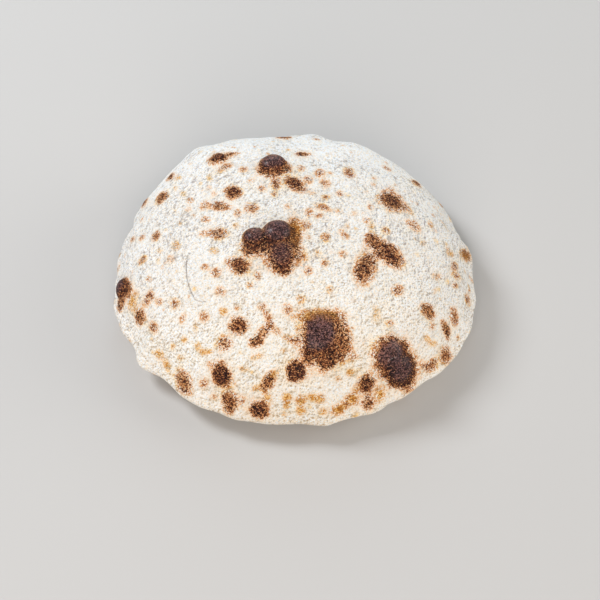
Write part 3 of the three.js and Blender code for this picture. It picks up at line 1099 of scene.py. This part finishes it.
def creases_of(field, grain):
    lines = [thin_line(field, grain.place, line, CREASE_WIDTH) * plainness for line, plainness in CREASES]
    return sum(lines) * grain.speck.between(*CREASE_BREAKS)


# Painted highlight: a light line along the crack of the front right blister.
def crack_highlight_of(field, grain):
    crack = thin_line(field, grain.place, CRACK, CRACK_WIDTH)
    return crack * grain.speck.between(*CRACK_BREAKS) * CRACK_HIGHLIGHT_SHARE


print("skin shows where heat passes", SKIN_HEAT[0])

# %% [markdown]
# ## The finish put together
# The colour is laid on in layers: pale dough with its painted light, browning, the painted shade in the
# pits, then the skin's tone with its painted sheen, the painted shade of the creases and the painted
# highlight of the crack. A bump from the same noise gives lumps too small for the mesh. Flour is rough
# and hardly shines. Char is a little smoother, and blister skin has a weak coat.

# %% Crust finish
PALE_TO_BROWN = (0.0, 0.2)
CHARRING = (0.55, 0.95)
BUMP_SHARES = {"knobs": 1.2, "ripples": 1.2, "mottle": 0.8, "strokes": -0.4}
WRINKLE_BUMP = 0.6
BUMP_HEIGHT = 1 * MM
FLOUR_ROUGHNESS = 0.92
CHAR_SMOOTHNESS = 0.3
DULL_SHINE = 0.08
CHAR_COAT = 0.03
SKIN_COAT = 0.3
COAT_ROUGHNESS = 0.32


def crust_colour(field, grain, browning, skin, creases):
    colour = browning.between(*PALE_TO_BROWN).mix(pale_crust(grain), browned(field, grain, browning))
    # Painted shade in the pits and on the lee side of lumps, multiplied into the colour.
    pit = grain.toward_front.between(*PIT_WARMS).mix(PIT_SHADE, FRONT_PIT_SHADE)
    colour = pit_shade(grain, browning).mix(colour, pit, "MULTIPLY")
    # Painted sheen on blister skin, partly the skin's own tone.
    colour = skin_tone_and_sheen(grain, skin).mix(colour, SKIN_TONE_AND_SHEEN)
    # Painted shade along the creases.
    colour = creases.mix(colour, CREASE_SHADE)
    # Painted highlight along the crack.
    return crack_highlight_of(field, grain).mix(colour, CRACK_HIGHLIGHT)


def crust_finish():
    """Floury crust, browned and scorched grain by grain."""
    material = bpy.data.materials.new("floury_scorched_crust")
    material.use_nodes = True
    material.node_tree.nodes.clear()
    field = Field(material.node_tree)
    grain = grain_of(field)
    browning = browning_of(field, grain)
    char = browning.between(*CHARRING)
    skin = blister_skin(grain)
    creases = creases_of(field, grain)
    height = blend(grain, BUMP_SHARES) - creases + grain.wrinkles * skin * WRINKLE_BUMP
    shader = field.node("BsdfPrincipled", {}, {
        "Base Color": crust_colour(field, grain, browning, skin, creases),
        "Roughness": FLOUR_ROUGHNESS - char * CHAR_SMOOTHNESS,
        "Specular IOR Level": DULL_SHINE,
        "Coat Weight": char * CHAR_COAT + skin * SKIN_COAT,
        "Coat Roughness": COAT_ROUGHNESS,
        "Normal": field.node("Bump", {}, {"Strength": 1.0, "Distance": BUMP_HEIGHT, "Height": height}),
    })
    field.node("OutputMaterial", {}, {"Surface": shader})
    return material


mesh.materials.append(crust_finish())
print("finish:", mesh.materials[0].name, "with", len(mesh.materials[0].node_tree.nodes), "nodes")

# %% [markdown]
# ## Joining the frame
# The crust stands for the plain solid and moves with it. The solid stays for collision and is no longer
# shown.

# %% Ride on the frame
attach(crust, "root")
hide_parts("pita")

# %% [markdown]
# ## Floor and light
# A plain pale floor and four soft lights show the bread. The smallest light stands at the upper left
# and draws the shadows. Three broad ones fill them: a warm one in front, one at the right and a weak
# cool one behind. A single lamp would leave the right side of the dome too dark.

# %% Floor
FLOOR_HALF = 3.0
FLOOR_PAINT = paint(188, 186, 184)
FLOOR_ROUGHNESS = 0.9
CORNERS = ((-1, -1), (1, -1), (1, 1), (-1, 1))

floor_mesh = bpy.data.meshes.new("floor")
floor_mesh.from_pydata([(x * FLOOR_HALF, y * FLOOR_HALF, 0) for x, y in CORNERS], [], [(0, 1, 2, 3)])
floor = bpy.data.objects.new("floor", floor_mesh)
floor_paint = bpy.data.materials.new("pale_floor")
floor_paint.use_nodes = True
floor_shader = floor_paint.node_tree.nodes["Principled BSDF"]
floor_shader.inputs["Base Color"].default_value = FLOOR_PAINT
floor_shader.inputs["Roughness"].default_value = FLOOR_ROUGHNESS
floor_mesh.materials.append(floor_paint)
bpy.context.scene.collection.objects.link(floor)
print("floor:", 2 * FLOOR_HALF, "m wide")

# %% Lights
LIGHTS = [  # name, place, size in metres, power in watts, colour
    ("key", (-0.94, 0.46, 1.08), 0.55, 16.9, (0.92, 0.96, 1.0)),
    ("front_fill", (-0.08, -1.35, 0.72), 1.2, 18.4, (1.0, 0.925, 0.86)),
    ("right_fill", (1.4, 0.1, 0.5), 1.2, 12.1, (1.0, 0.99, 0.945)),
    ("back_fill", (0.1, 1.3, 0.7), 1.0, 5.7, (0.8, 0.91, 1.0)),
]
WORLD_STRENGTH = 0.25

for name, place, size, power, colour in LIGHTS:
    lamp = bpy.data.lights.new(name, "AREA")
    lamp.shape = "DISK"
    lamp.size = size
    lamp.energy = power
    lamp.color = colour
    light = bpy.data.objects.new(name, lamp)
    light.location = place
    light.rotation_euler = (BREAD_MIDDLE - light.location).to_track_quat("-Z", "Y").to_euler()
    bpy.context.scene.collection.objects.link(light)

world = bpy.data.worlds.new("studio")
world.use_nodes = True
background = world.node_tree.nodes["Background"]
background.inputs["Color"].default_value = (1, 1, 1, 1)
background.inputs["Strength"].default_value = WORLD_STRENGTH
bpy.context.scene.world = world
bpy.context.scene.view_settings.view_transform = "Standard"
print(len(LIGHTS), "lights")
